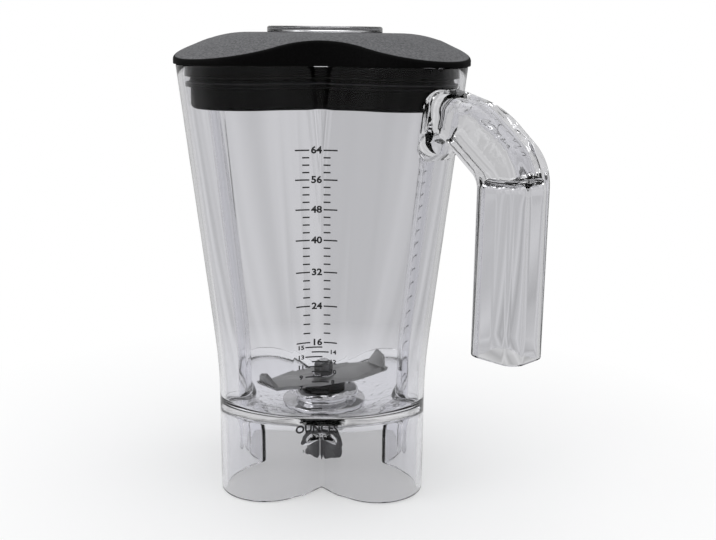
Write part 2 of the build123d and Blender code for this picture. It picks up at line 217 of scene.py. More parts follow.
inside_point = wall_points([skirt_top - 12, skirt_top] + body_levels + [jar_rim], jar_wall, False)
columns = range(len(jar_rings[0]))
fillet_tops = []
for column in columns:
    across, along, _ = inside_point(column, skirt_top)
    across, along, _ = inside_point(column, floor_level(across, along) + floor_fillet)
    fillet_tops.append(inside_point(column, floor_level(across, along) + floor_fillet))
for step in range(1, rows_inside + 1):
    ring = []
    for column in columns:
        start = jar_rim - edge_round
        ring.append(inside_point(column, start + (fillet_tops[column][2] - start) * step / rows_inside))
    jar_rings.append(ring)
for back, drop in quarter_round(floor_fillet, fillet_steps):
    ring = []
    for top in fillet_tops:
        spot = scaled_to(top, hypot(top[0], top[1]) - core_step - back, 0)
        ring.append((spot[0], spot[1], floor_level(spot[0], spot[1]) + drop))
    jar_rings.append(ring)
for step in range(1, rows_on_floor + 1):
    ring = []
    for top in fillet_tops:
        start = hypot(top[0], top[1]) - core_step - floor_fillet
        spot = scaled_to(top, start + (seat_radius - start) * step / rows_on_floor, 0)
        ring.append((spot[0], spot[1], floor_level(spot[0], spot[1])))
    jar_rings.append(ring)
seat_under = seat_level - floor_thick
for radius, level in ((seat_middle, seat_level), (tail_hole, seat_level), (tail_hole, seat_under),
                      (seat_middle, seat_under), (seat_radius, seat_under)):
    jar_rings.append([scaled_to(top, radius, level) for top in fillet_tops])

skirt_inside_point = wall_points([2.0 * step for step in range(29)], jar_wall, True)
under_edges = []
for column in columns:
    across, along, _ = skirt_inside_point(column, groove_arch)
    across, along, _ = skirt_inside_point(column, under_level(hypot(across, along)) - under_fillet)
    under_edges.append(skirt_inside_point(column, under_level(hypot(across, along)) - under_fillet))
for step in range(1, rows_under_floor + 1):
    ring = []
    for edge in under_edges:
        reach = hypot(edge[0], edge[1]) - under_fillet - seat_radius
        radius = seat_radius + reach * step / rows_under_floor
        ring.append(scaled_to(edge, radius, under_level(radius)))
    jar_rings.append(ring)
for back, drop in reversed(quarter_round(under_fillet)[:-1]):
    ring = []
    for edge in under_edges:
        radius = hypot(edge[0], edge[1]) - back
        ring.append(scaled_to(edge, radius, under_level(radius) - drop))
    jar_rings.append(ring)
for step in range(1, rows_in_skirt + 1):
    ring = []
    for column in columns:
        start = under_edges[column][2]
        ring.append(skirt_inside_point(column, start + (edge_round - start) * step / rows_in_skirt))
    jar_rings.append(ring)
jar_rings += [jar_outline(drop, jar_wall - back, True) for back, drop in rounding[1:]]
jar = skin_over("jar_moulding", jar_rings)

# Handle, in the same moulding as the jar: a solid arm leaves one lobe from a pad, bends down at an elbow
# and runs on as a grip that is hollow and open below. Its skin is joined to the jar's by a union.
grip_inner = 116.3
grip_outer = 147.0
grip_half_width = 13.5
grip_bottom = 98.0
grip_corner = 8.0
grip_wall = 3.2
grip_hollow_top = 187.0
grip_rows = 12
hollow_draft = tan(radians(0.6))
hollow_round = 5.0
arm_top = 224.5
arm_bottom = 202.4
arm_bend = 54.0
elbow_bend = 27.5
outer_bend_back = 35.0
outer_bend_drop = 28.8
inner_bend_round = 8.0
inner_bend_back = 22.0
inner_bend_drop = 17.7
bend_steps = 10
elbow_steps = 12
elbow_clear = 3.0
root_length = 9.0
root_pad_drop = 12.0
root_pad_rise = 2.0
root_pad_flare = 1.0
root_sunk = 1.5
root_flatten = 4.0
corner_steps = 9


def bend_points(before, corner, after, radius, steps):
    """Points along the arc that rounds off one corner of a line, in a plane."""
    back = hypot(before[0] - corner[0], before[1] - corner[1])
    ahead = hypot(after[0] - corner[0], after[1] - corner[1])
    into = ((corner[0] - before[0]) / back, (corner[1] - before[1]) / back)
    away = ((after[0] - corner[0]) / ahead, (after[1] - corner[1]) / ahead)
    turn = atan2(into[0] * away[1] - into[1] * away[0], into[0] * away[0] + into[1] * away[1])
    setback = radius * tan(abs(turn) / 2)
    side = 1.0 if turn > 0 else -1.0
    start = (corner[0] - into[0] * setback, corner[1] - into[1] * setback)
    centre = (start[0] - into[1] * radius * side, start[1] + into[0] * radius * side)
    points = []
    for step in range(steps + 1):
        part = turn * step / steps
        spoke = (start[0] - centre[0], start[1] - centre[1])
        points.append((centre[0] + spoke[0] * cos(part) - spoke[1] * sin(part),
                       centre[1] + spoke[0] * sin(part) + spoke[1] * cos(part)))
    return points


def rounded_section(middle, up, half_height, half_width, corner):
    """A ring round the handle: a rounded rectangle across Y, standing along a direction in the XZ plane."""
    ring = []
    for quarter, (side, end) in enumerate(((1, 1), (-1, 1), (-1, -1), (1, -1))):
        for step in range(corner_steps + 1):
            turn = pi / 2 * (quarter + step / corner_steps)
            across = side * (half_width - corner) + corner * cos(turn)
            along = end * (half_height - corner) + corner * sin(turn)
            ring.append((middle[0] + up[0] * along, across, middle[1] + up[1] * along))
    return ring


def lobe_face(across, height, inset):
    """How far out the jar's lobe under the handle stands, at a place across it and a height."""
    lobe_at, lobe_radius, _, _ = jar_section(height, inset)
    return lobe_at + sqrt(lobe_radius ** 2 - across ** 2)


def arm_ring(outer, inner, proud):
    """A ring round the arm between its outer and inner lines, grown towards the pad at its root."""
    length = hypot(outer[0] - inner[0], outer[1] - inner[1])
    up = ((outer[0] - inner[0]) / length, (outer[1] - inner[1]) / length)
    near = max(1.0 - max(proud, 0.0) / root_length, 0.0)
    shift = (root_pad_rise - root_pad_drop) * near / 2
    middle = ((outer[0] + inner[0]) / 2 + up[0] * shift, (outer[1] + inner[1]) / 2 + up[1] * shift)
    half_height = (length + (root_pad_rise + root_pad_drop) * near) / 2
    return rounded_section(middle, up, half_height, grip_half_width + root_pad_flare * near, grip_corner)


root_reach = lobe_face(0.0, (arm_top + arm_bottom) / 2, 0.0)
handle_rings = []
for proud in (-root_sunk, 0.0, 0.3, 0.8, 1.5, 2.4):
    ring = []
    flatten = max(proud, 0.0) / root_flatten
    for _, across, height in arm_ring((0.0, arm_top), (0.0, arm_bottom), proud):
        on_wall = lobe_face(across, height, max(-proud, 0.0)) + max(proud, 0.0)
        ring.append((on_wall + (root_reach + proud - on_wall) * flatten, across, height))
    handle_rings.append(ring)
outer_bend = (grip_outer - outer_bend_back, arm_top)
outer_turn = (grip_outer, arm_top - outer_bend_drop)
inner_bend = (grip_inner - inner_bend_back, arm_bottom)
inner_turn = (grip_inner, arm_bottom - inner_bend_drop)
outer_foot, inner_foot = (grip_outer, grip_bottom), (grip_inner, grip_bottom)
outer_line = bend_points((0.0, arm_top), outer_bend, outer_turn, arm_bend, bend_steps)
outer_line += bend_points(outer_bend, outer_turn, outer_foot, elbow_bend, elbow_steps)
inner_line = bend_points((0.0, arm_bottom), inner_bend, inner_turn, inner_bend_round, bend_steps)
inner_line += bend_points(inner_bend, inner_turn, inner_foot, inner_bend_round, elbow_steps)
handle_rings += [arm_ring(outer, inner, (outer[0] + inner[0]) / 2 - root_reach)
                 for outer, inner in zip(outer_line, inner_line)]
grip_middle = (grip_outer + grip_inner) / 2
grip_half = (grip_outer - grip_inner) / 2


def grip_ring(height, inset):
    """A level ring round the grip, set in from its outside."""
    return rounded_section((grip_middle, height), (1.0, 0.0), grip_half - inset, grip_half_width - inset,
                           max(grip_corner - inset, 1.0))


elbow_end = min(outer_line[-1][1], inner_line[-1][1]) - elbow_clear
handle_rings += [grip_ring(elbow_end + (grip_bottom + edge_round - elbow_end) * step / grip_rows, 0.0)
                 for step in range(grip_rows + 1)]
handle_rings += [grip_ring(grip_bottom + drop, back) for back, drop in rounding[1:]]
handle_rings += [grip_ring(grip_bottom + drop, grip_wall - back) for back, drop in reversed(rounding)]
for step in range(1, grip_rows + 1):
    level = grip_bottom + (grip_hollow_top - hollow_round - grip_bottom) * step / grip_rows
    handle_rings.append(grip_ring(level, grip_wall + (level - grip_bottom) * hollow_draft))
top_inset = grip_wall + (grip_hollow_top - grip_bottom) * hollow_draft
for back, drop in quarter_round(hollow_round)[1:]:
    handle_rings.append(grip_ring(grip_hollow_top - drop, top_inset + back))
root_middle = (root_reach - root_sunk, 0.0, (arm_top + arm_bottom) / 2)
handle = skin_over("handle", handle_rings, ends=(root_middle, (grip_middle, 0.0, grip_hollow_top)))
bpy.context.view_layer.objects.active = jar
joint = jar.modifiers.new("handle joint", "BOOLEAN")
joint.operation = "UNION"
joint.solver = "EXACT"
joint.object = handle
bpy.ops.object.select_all(action="DESELECT")
jar.select_set(True)
bpy.ops.object.modifier_apply(modifier=joint.name)
bpy.data.objects.remove(handle, do_unlink=True)
bpy.ops.object.shade_smooth_by_angle(angle=radians(40))


def node_adder(tree):
    """A helper that adds a node with settings to a node tree."""
    def add(kind, **settings):
        node = tree.nodes.new(kind)
        for key, value in settings.items():
            if key in node.inputs:
                node.inputs[key].default_value = value
            else:
                setattr(node, key, value)
        return node

    return add


def new_material(name):
    """An empty node material, its tree, its shader and the helper that adds nodes to it."""
    material = bpy.data.materials.new(name)
    material.use_nodes = True
    tree = material.node_tree
    return material, tree, tree.nodes["Principled BSDF"], node_adder(tree)


def spread(add, tree, source, low, high, start=0.3, end=0.7):
    """A value that runs from low to high while its source, such as a texture, runs from start to end."""
    ramp = add("ShaderNodeMapRange")
    for key, value in (("From Min", start), ("From Max", end), ("To Min", low), ("To Max", high)):
        ramp.inputs[key].default_value = value
    tree.links.new(source, ramp.inputs["Value"])
    return ramp.outputs["Result"]


def two_tones(add, tree, source, dark, light, start=0.0, end=1.0):
    """A colour that runs from a dark to a light tone while its source runs from start to end."""
    ramp = add("ShaderNodeValToRGB")
    for element, place, tone in zip(ramp.color_ramp.elements, (start, end), (dark, light)):
        element.position = place
        element.color = (*tone, 1.0)
    tree.links.new(source, ramp.inputs["Fac"])
    return ramp.outputs["Color"]


def clear_moulding(name, tint, ripple, swirl_spots=()):
    """Clear moulded plastic: a faint tint, slow ripples, handling marks, and swirls where it is thick."""
    material, tree, shader, add = new_material(name)
    shader.inputs["Base Color"].default_value = tint
    shader.inputs["Transmission Weight"].default_value = 1.0
    shader.inputs["IOR"].default_value = 1.57
    shader.inputs["Specular Tint"].default_value = (0.15, 0.15, 0.15, 1.0)
    place = add("ShaderNodeTexCoord")
    marks = add("ShaderNodeTexNoise", Scale=900.0, Detail=3.0)
    waves = add("ShaderNodeTexNoise", Scale=38.0, Detail=1.0)
    bump = add("ShaderNodeBump", Strength=ripple, Distance=0.0005)
    for texture in (marks, waves):
        tree.links.new(place.outputs["Object"], texture.inputs["Vector"])
    tree.links.new(spread(add, tree, marks.outputs["Fac"], 0.01, 0.05), shader.inputs["Roughness"])
    tree.links.new(waves.outputs["Fac"], bump.inputs["Height"])
    for centre, reach, scale, depth in swirl_spots:
        away = add("ShaderNodeMapping", vector_type="TEXTURE", Location=centre, Scale=reach)
        distance = add("ShaderNodeVectorMath", operation="LENGTH")
        swirl_bump = add("ShaderNodeBump", Distance=depth)
        swirl = add("ShaderNodeTexNoise", Scale=scale, Detail=2.0, Distortion=1.2)
        tree.links.new(place.outputs["Object"], swirl.inputs["Vector"])
        tree.links.new(place.outputs["Object"], away.inputs["Vector"])
        tree.links.new(away.outputs["Vector"], distance.inputs[0])
        fade = spread(add, tree, distance.outputs["Value"], 0.0, 0.6, 1.0, 0.8)
        tree.links.new(fade, swirl_bump.inputs["Strength"])
        tree.links.new(swirl.outputs["Fac"], swirl_bump.inputs["Height"])
        tree.links.new(bump.outputs["Normal"], swirl_bump.inputs["Normal"])
        bump = swirl_bump
    tree.links.new(bump.outputs["Normal"], shader.inputs["Normal"])
    return material


def finish_piece(piece, material, body, slot, *nodes):
    """Gives a piece its material and its body, and hides the CAD nodes that it stands in for. Its slot is not
    used.
    """
    piece.data.materials.clear()
    piece.data.materials.append(material)
    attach(piece, body)
    if nodes:
        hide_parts(*nodes)


floor_swirls = ((0.0, 0.0, 0.043), (0.05, 0.05, 0.012), 110.0, 0.0008)
elbow_swirls = ((0.122, 0.0, 0.212), (0.04, 0.03, 0.022), 42.0, 0.0012)
jar_tint = (0.93, 0.93, 0.95, 1.0)
jar_ripple = 0.12
jar_plastic = clear_moulding("jar copolyester", jar_tint, jar_ripple, (floor_swirls, elbow_swirls))
finish_piece(jar, jar_plastic, "jar", "clear_plastic", "jar")

# Printed scales: black ink printed on the outside of two flutes, ounces on the front one and millilitres
# on the one to its right. The ink is a thin film that follows the flute's curve.
ink_lift = 0.03
ink_thickness = 0.05
stroke = 0.75
scale_aside = -2.2
number_gap = 3.6
short_reach = 7.2
long_reach = 10.8
number_size = 5.0
fine_shift = 1.7
fine_half = 4.6
fine_number_aside = 8.6
fine_number_size = 3.3
millilitre_aside = -2.4
millilitre_stroke = (3.4, 11.5)
millilitre_size = 4.6
ounce = 29.57
ounces_word = (39.9, 6.2, 0.95)
millilitres_word = (40.0, 4.8)
first_mark = 41.7
mark_pitch = 3.362
mark_closing = 0.0225
mark_opening = 0.000116


def mark_level(ounces):
    """Height of a volume's mark, which climbs more slowly as the jar widens."""
    return first_mark + mark_pitch * ounces - mark_closing * ounces ** 2 + mark_opening * ounces ** 3


def wrap_on_flute(piece, azimuth):
    """Lays a flat drawing, in millimetres across and up, on the outside of a flute."""
    for vertex in piece.data.vertices:
        across, height = vertex.co.x, vertex.co.y
        _, _, flute_at, flute_radius = jar_section(height, -ink_lift)
        along = flute_at - sqrt(flute_radius ** 2 - across ** 2)
        vertex.co = ((along * cos(azimuth) - across * sin(azimuth)) * MM,
                     (along * sin(azimuth) + across * cos(azimuth)) * MM, height * MM)


def drawn_stroke(left, right, height):
    """A level stroke of a scale, drawn flat."""
    bpy.ops.mesh.primitive_grid_add(x_subdivisions=6, y_subdivisions=1, size=1.0, location=(0, 0, 0))
    piece = bpy.context.object
    for vertex in piece.data.vertices:
        vertex.co.x = (left + right) / 2 + vertex.co.x * (right - left)
        vertex.co.y = height + vertex.co.y * stroke
    return piece


def drawn_label(text, middle, height, size, stretch=1.12):
    """A number or a word of a scale, drawn flat and made a mesh."""
    bpy.ops.object.text_add(location=(0, 0, 0))
    letters = bpy.context.object
    letters.data.body = text
    letters.data.size = size
    letters.data.align_x = "CENTER"
    letters.data.align_y = "CENTER"
    letters.data.resolution_u = 3
    letters.data.offset = 0.035 * size
    bpy.ops.object.convert(target="MESH")
    piece = bpy.context.object
    for vertex in piece.data.vertices:
        vertex.co.x = middle + vertex.co.x * stretch
        vertex.co.y += height
    return piece


def printed_scale(name, drawings, azimuth, ink):
    """Joins the drawings of one scale and lays them on a flute as a film of ink."""
    bpy.ops.object.select_all(action="DESELECT")
    for drawing in drawings:
        drawing.select_set(True)
    bpy.context.view_layer.objects.active = drawings[0]
    bpy.ops.object.join()
    scale = bpy.context.object
    scale.name = name
    scale.data.name = name
    wrap_on_flute(scale, azimuth)
    film = scale.modifiers.new("film", "SOLIDIFY")
    film.thickness = ink_thickness * MM
    film.offset = 1.0
    bpy.ops.object.modifier_apply(modifier=film.name)
    finish_piece(scale, ink, "jar", "black_plastic")


ink, tree, shader, add = new_material("scale ink")
place = add("ShaderNodeTexCoord")
pores = add("ShaderNodeTexNoise", Scale=2500.0, Detail=2.0)
tree.links.new(place.outputs["Object"], pores.inputs["Vector"])
shade = two_tones(add, tree, pores.outputs["Fac"], (0.004, 0.004, 0.005), (0.012, 0.012, 0.014))
tree.links.new(shade, shader.inputs["Base Color"])
tree.links.new(spread(add, tree, pores.outputs["Fac"], 0.45, 0.6), shader.inputs["Roughness"])
drawings = [drawn_label("OUNCES", scale_aside, *ounces_word)]
for ounces in range(16, 65, 2):
    level = mark_level(ounces)
    reach = short_reach
    if ounces % 8 == 0:
        drawings.append(drawn_label(str(ounces), scale_aside, level, number_size))
        reach = long_reach
    drawings.append(drawn_stroke(scale_aside - reach, scale_aside - number_gap, level))
    drawings.append(drawn_stroke(scale_aside + number_gap, scale_aside + reach, level))
for ounces in range(1, 16):
    side = -1 if ounces % 2 else 1
    level = mark_level(ounces)
    middle = scale_aside + side * fine_shift
    drawings.append(drawn_stroke(middle - fine_half, middle + fine_half, level))
    if ounces > 6 or ounces == 1:
        number_at = scale_aside + side * fine_number_aside
        drawings.append(drawn_label(str(ounces), number_at, level, fine_number_size))
printed_scale("ounce_scale", drawings, -pi / 4, ink)
drawings = [drawn_label("ML", 0.0, *millilitres_word)]
for millilitres in range(100, 1900, 100):
    level = mark_level(millilitres / ounce)
    drawings.append(drawn_stroke(*millilitre_stroke, level))
    drawings.append(drawn_label(str(millilitres), millilitre_aside, level, millilitre_size))
printed_scale("millilitre_scale", drawings, pi / 4, ink)

# Cutter seat: a turned and polished stainless housing with a flange, clamped to the floor by a washer
# and a nut on its tail, over a rubber gasket. Its bearings, seal and snap ring are inside.
around_turned = 96
tail_radius = 11.0
tail_bottom = 24.0
flange_radius = 24.0
flange_bottom = 39.0
flange_edge = 41.2
neck_radius = 17.2
neck_bottom = 42.6
neck_top = 43.6
dome_radius = 19.5
dome_edge = 44.6
dome_top = 49.0
housing_bore = 8.0
seal_bore = 5.9
seal_web_top = 43.0
seal_web_bottom = 41.0
clamp_radius = 17.0
clamp_bottom = 33.0
clamp_top = 34.5


def turned_piece(name, corners, ends=None):
    """A turned piece from the corners of its half section, each with a radius, height and rounding."""
    outline = []
    for place, (radius, height, blend) in enumerate(corners):
        if ends is not None and place in (0, len(corners) - 1) or blend == 0.0:
            outline.append((radius, height))
        else:
            before, after = corners[place - 1], corners[(place + 1) % len(corners)]
            outline += bend_points(before[:2], (radius, height), after[:2], blend, 5)
    turns = [2 * pi * step / around_turned for step in range(around_turned)]
    return skin_over(name, [[(radius * cos(turn), radius * sin(turn), height) for turn in turns]
                            for radius, height in outline], ends)


def turned_steel(name, tone, rough_low, rough_high, rings):
    """Stainless steel with fine turning marks round the axis and a little tarnish."""
    material, tree, shader, add = new_material(name)
    shader.inputs["Metallic"].default_value = 1.0
    place = add("ShaderNodeTexCoord")
    marks = add("ShaderNodeTexWave", wave_type="RINGS", rings_direction="Z", Scale=rings, Distortion=1.5,
                Detail=2.0)
    stain = add("ShaderNodeTexNoise", Scale=160.0, Detail=4.0)
    bump = add("ShaderNodeBump", Strength=0.05, Distance=0.0001)
    for texture in (marks, stain):
        tree.links.new(place.outputs["Object"], texture.inputs["Vector"])
    shade = two_tones(add, tree, stain.outputs["Fac"], (tone * 0.82, tone * 0.82, tone * 0.83),
                      (tone, tone, tone * 1.01))
    tree.links.new(shade, shader.inputs["Base Color"])
    roughness = spread(add, tree, stain.outputs["Fac"], rough_low, rough_high)
    tree.links.new(roughness, shader.inputs["Roughness"])
    tree.links.new(marks.outputs["Fac"], bump.inputs["Height"])
    tree.links.new(bump.outputs["Normal"], shader.inputs["Normal"])
    return material


def moulded_rubber(name, tone, speckle, rough_low, rough_high, grain, sheen_top=None):
    """Moulded rubber or plastic with a speckled grain, and a paler painted sheen on faces that look up, in
    place of the grazing reflection that they catch.
    """
    material, tree, shader, add = new_material(name)
    shader.inputs["Specular IOR Level"].default_value = 0.06
    place = add("ShaderNodeTexCoord")
    grains = add("ShaderNodeTexNoise", Scale=grain, Detail=3.0, Roughness=0.7)
    dust = add("ShaderNodeTexNoise", Scale=55.0, Detail=4.0)
    bump = add("ShaderNodeBump", Strength=0.35, Distance=0.0002)
    for texture in (grains, dust):
        tree.links.new(place.outputs["Object"], texture.inputs["Vector"])
    shade = two_tones(add, tree, grains.outputs["Fac"], (tone, tone, tone),
                      (speckle, speckle, speckle * 1.03), 0.35, 0.72)
    tree.links.new(shade, shader.inputs["Base Color"])
    # Painted sheen: faces that look up get a paler speckled colour that stands in for the grazing reflection
    # of the bright surround, and this leaves the steeper faces black.
    if sheen_top is not None:
        facing = add("ShaderNodeNewGeometry")
        upright = add("ShaderNodeSeparateXYZ")
        blend = add("ShaderNodeMix", data_type="RGBA")
        tree.links.new(facing.outputs["Normal"], upright.inputs["Vector"])
        sheen_mask = spread(add, tree, upright.outputs["Z"], 0.0, 1.0, 0.8, 0.95)
        sheen_dark = sheen_top * 0.3
        painted_sheen = two_tones(add, tree, grains.outputs["Fac"], (sheen_dark, sheen_dark, sheen_dark),
                         (sheen_top, sheen_top, sheen_top * 1.03), 0.3, 0.7)
        tree.links.new(sheen_mask, blend.inputs["Factor"])
        tree.links.new(shade, blend.inputs["A"])
        tree.links.new(painted_sheen, blend.inputs["B"])
        tree.links.new(blend.outputs["Result"], shader.inputs["Base Color"])
    roughness = spread(add, tree, dust.outputs["Fac"], rough_low, rough_high)
    tree.links.new(roughness, shader.inputs["Roughness"])
    tree.links.new(grains.outputs["Fac"], bump.inputs["Height"])
    tree.links.new(bump.outputs["Normal"], shader.inputs["Normal"])
    return material


def dress_node(node, material):
    """Gives a CAD node that keeps its own shape a finish."""
    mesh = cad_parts[node].data
    mesh.materials.clear()
    mesh.materials.append(material)


polished_steel = turned_steel("polished housing steel", 0.74, 0.02, 0.06, 900.0)
ground_steel = turned_steel("ground shaft steel", 0.62, 0.2, 0.32, 1500.0)
bearing_chrome = turned_steel("bearing steel", 0.7, 0.1, 0.2, 2200.0)
black_seal = moulded_rubber("black seal rubber", 0.012, 0.03, 0.5, 0.65, 2600.0)
housing = turned_piece("cutter_housing", [
    (housing_bore, tail_bottom, 0.2), (tail_radius, tail_bottom, 0.6), (tail_radius, flange_bottom, 0.0),
    (flange_radius, flange_bottom, 0.3), (flange_radius, flange_edge, 0.7), (neck_radius, neck_bottom, 1.0),
    (neck_radius, neck_top, 0.4), (dome_radius, dome_edge, 0.5), (dome_radius, dome_top, 3.0),
    (housing_bore, dome_top, 0.3), (housing_bore, seal_web_top, 0.0), (seal_bore, seal_web_top, 0.2),
    (seal_bore, seal_web_bottom, 0.2), (housing_bore, seal_web_bottom, 0.0)])
finish_piece(housing, polished_steel, "jar", "stainless_steel", "bearing_housing")
washer = turned_piece("clamping_washer", [
    (tail_radius, clamp_bottom, 0.2), (clamp_radius, clamp_bottom, 0.4), (clamp_radius, clamp_top, 0.4),
    (tail_radius, clamp_top, 0.2)])
finish_piece(washer, ground_steel, "jar", "stainless_steel", "tail_washer")
# The gasket's rubber is given a pale grey, lighter than the black seal.
gasket_rubber = moulded_rubber("pale grey gasket rubber", 0.2, 0.3, 0.5, 0.65, 2600.0)
dress_node("housing_gasket", gasket_rubber)
dress_node("shaft_seal", black_seal)
for node in ("upper_bearing_outer_ring", "upper_bearing_inner_ring", "upper_bearing_balls",
             "lower_bearing_outer_ring", "lower_bearing_inner_ring", "lower_bearing_balls"):
    dress_node(node, bearing_chrome)
dress_node("bearing_spacer", ground_steel)
dress_node("retaining_ring", ground_steel)


def bevelled_copy(node, name, width):
    """A copy of a CAD node with its flat faces made whole and its edges broken, as a file would."""
    bpy.ops.object.select_all(action="DESELECT")
    piece = bpy.data.objects.new(name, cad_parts[node].data.copy())
    piece.data.name = name
    bpy.context.scene.collection.objects.link(piece)
    piece.select_set(True)
    bpy.context.view_layer.objects.active = piece
    bpy.ops.object.mode_set(mode="EDIT")
    bpy.ops.mesh.select_all(action="SELECT")
    bpy.ops.mesh.remove_doubles(threshold=0.000002)
    bpy.ops.mesh.dissolve_limited(angle_limit=radians(1))
    bpy.ops.object.mode_set(mode="OBJECT")
    edges = piece.modifiers.new("broken edges", "BEVEL")
    edges.width = width * MM
    edges.segments = 2
    edges.limit_method = "ANGLE"
    edges.angle_limit = radians(35)
    bpy.ops.object.modifier_apply(modifier=edges.name)
    bpy.ops.object.shade_smooth_by_angle(angle=radians(30))
    return piece


tail_nut = bevelled_copy("tail_nut", "clamping_nut", 0.3)
finish_piece(tail_nut, ground_steel, "jar", "stainless_steel", "tail_nut")

# Cutter: a shaft that carries a black slinger disc, a stamped stainless blade with bent-up tips, a
# washer and a nut. It turns in the housing, driven by a black clutch screwed on below.
slinger_bore = 4.0
slinger_radius = 14.8
slinger_bottom = 49.9
slinger_top = 53.9
washer_bore = 3.0
washer_radius = 7.2
washer_bottom = 55.9
washer_top = 56.9
dress_node("shaft", ground_steel)
dress_node("shaft_spacer", ground_steel)
black_plastic = moulded_rubber("black clutch plastic", 0.02, 0.035, 0.35, 0.5, 1800.0)
slinger = turned_piece("slinger_disc", [
    (slinger_bore, slinger_bottom, 0.0), (slinger_radius, slinger_bottom, 0.8),
    (slinger_radius, slinger_top, 1.2), (slinger_bore, slinger_top, 0.0)])
finish_piece(slinger, black_plastic, "cutter", "black_plastic", "slinger")


def stamped_steel(name, tone):
    """Rolled blade steel: a satin face with long grinding scratches and dull patches."""
    material, tree, shader, add = new_material(name)
    shader.inputs["Metallic"].default_value = 1.0
    place = add("ShaderNodeTexCoord")
    along_grain = add("ShaderNodeMapping", Rotation=(0.0, 0.0, radians(-72)), Scale=(90.0, 2600.0, 1500.0))
    scratches = add("ShaderNodeTexNoise", Scale=1.0, Detail=5.0)
    patches = add("ShaderNodeTexNoise", Scale=70.0, Detail=3.0)
    bump = add("ShaderNodeBump", Strength=0.12, Distance=0.0001)
    tree.links.new(place.outputs["Object"], along_grain.inputs["Vector"])
    tree.links.new(along_grain.outputs["Vector"], scratches.inputs["Vector"])
    tree.links.new(place.outputs["Object"], patches.inputs["Vector"])
    shade = two_tones(add, tree, scratches.outputs["Fac"], (tone * 0.75, tone * 0.75, tone * 0.74),
                      (tone, tone, tone * 0.99))
    tree.links.new(shade, shader.inputs["Base Color"])
    tree.links.new(spread(add, tree, patches.outputs["Fac"], 0.28, 0.42), shader.inputs["Roughness"])
    tree.links.new(scratches.outputs["Fac"], bump.inputs["Height"])
    tree.links.new(bump.outputs["Normal"], shader.inputs["Normal"])
    return material


blade = bevelled_copy("blade", "cutter_blade", 0.15)
finish_piece(blade, stamped_steel("stamped blade steel", 0.4), "cutter", "stainless_steel", "blade")
blade_washer = turned_piece("cutter_washer", [
    (washer_bore, washer_bottom, 0.1), (washer_radius, washer_bottom, 0.25),
    (washer_radius, washer_top, 0.25), (washer_bore, washer_top, 0.1)])
finish_piece(blade_washer, ground_steel, "cutter", "stainless_steel", "blade_washer")
blade_nut = bevelled_copy("blade_nut", "cutter_nut", 0.25)
dull_steel = turned_steel("dull nut steel", 0.14, 0.3, 0.45, 1500.0)
finish_piece(blade_nut, dull_steel, "cutter", "stainless_steel", "blade_nut")
clutch = bevelled_copy("drive_clutch", "drive_coupling", 0.3)
# The clutch's plastic is a dark grey, paler than the slinger's black.
grey_clutch_plastic = moulded_rubber("dark grey clutch plastic", 0.1, 0.17, 0.4, 0.55, 1800.0)
finish_piece(clutch, grey_clutch_plastic, "cutter", "black_plastic", "drive_clutch")

# Lid: one soft black rubber moulding. Its domed top follows the jar's outline, and its hollow plug has
# a sealing fin and pushes into the mouth. A collar round the hole in its middle takes the filler cap.
lid_top = 253.0
lid_flat = 42.0
lid_bow = 64.0
lid_slope = radians(18.3)
lid_rows = 24
lid_overhang = 1.2
lid_edge = 2.0
lid_under_edge = 0.6
lid_skin = 5.0
lid_hole = 27.0
collar_outside = 30.5
collar_bottom = 225.0
plug_inset = 6.2
plug_wall = 4.0
plug_bottom = 215.0
plug_section = jar_rim - 10
plug_round = 2.5
fin_inset = 3.35
shoulder_inset = 3.5
shoulder_bottom = 231.0
fin_bottom = 226.0
fin_top = 228.4
shoulder_round = 0.4
shoulder_blend = 0.5
fin_round = 0.3
fin_blend = 0.6


def lid_level(point):
    """Height of the lid's bowed top over a point."""
    beyond = max(hypot(point[0], point[1]) - lid_flat, 0.0)
    bow_end = lid_bow * sin(lid_slope)
    on_bow = min(beyond, bow_end)
    return lid_top - lid_bow + sqrt(lid_bow ** 2 - on_bow ** 2) - (beyond - on_bow) * tan(lid_slope)


def at_level(ring, height):
    """A ring of points moved to one height."""
    return [(across, along, height) for across, along, _ in ring]


def between(ring, other, share):
    """A ring part of the way from one ring to another."""
    return [tuple(start + (end - start) * share for start, end in zip(first, second))
            for first, second in zip(ring, other)]


edge_ring = jar_outline(jar_rim, lid_edge - lid_overhang, False)
hole_ring = [scaled_to(point, lid_hole + edge_round, lid_top) for point in edge_ring]
lid_rings = [at_level([scaled_to(point, lid_hole, 0) for point in edge_ring], collar_bottom)]
lid_rings += [[scaled_to(point, lid_hole + back, lid_top - drop) for point in edge_ring]
              for back, drop in rounding]
for step in range(1, lid_rows + 1):
    lid_rings.append([(across, along, lid_level((across, along)))
                      for across, along, _ in between(hole_ring, edge_ring, step / lid_rows)])
for back, drop in reversed(quarter_round(lid_edge, 7)[:-1]):
    ring = jar_outline(jar_rim, back - lid_overhang, False)
    lid_rings.append([(point[0], point[1], lid_level(inner) - drop)
                      for point, inner in zip(ring, edge_ring)])
lid_side = jar_outline(jar_rim, -lid_overhang, False)
lid_rings.append(at_level(lid_side, jar_rim + lid_under_edge))
lid_rings += [at_level(jar_outline(jar_rim, back - lid_overhang, False), jar_rim + drop)
              for back, drop in quarter_round(lid_under_edge)[1:]]
plug_side = jar_outline(plug_section, plug_inset, False)
fin_side = jar_outline(fin_bottom, fin_inset, False)
shoulder_side = jar_outline(jar_rim, shoulder_inset, False)
shoulder_foot = jar_outline(shoulder_bottom, shoulder_inset, False)
lid_rings += [at_level(shoulder_side, jar_rim), at_level(shoulder_foot, shoulder_bottom + shoulder_round)]
lid_rings += [between(at_level(plug_side, shoulder_bottom), at_level(shoulder_foot, shoulder_bottom), 0.7),
              at_level(plug_side, shoulder_bottom - shoulder_blend)]
lid_rings += [between(at_level(plug_side, fin_top), at_level(fin_side, fin_top), 0.3)]
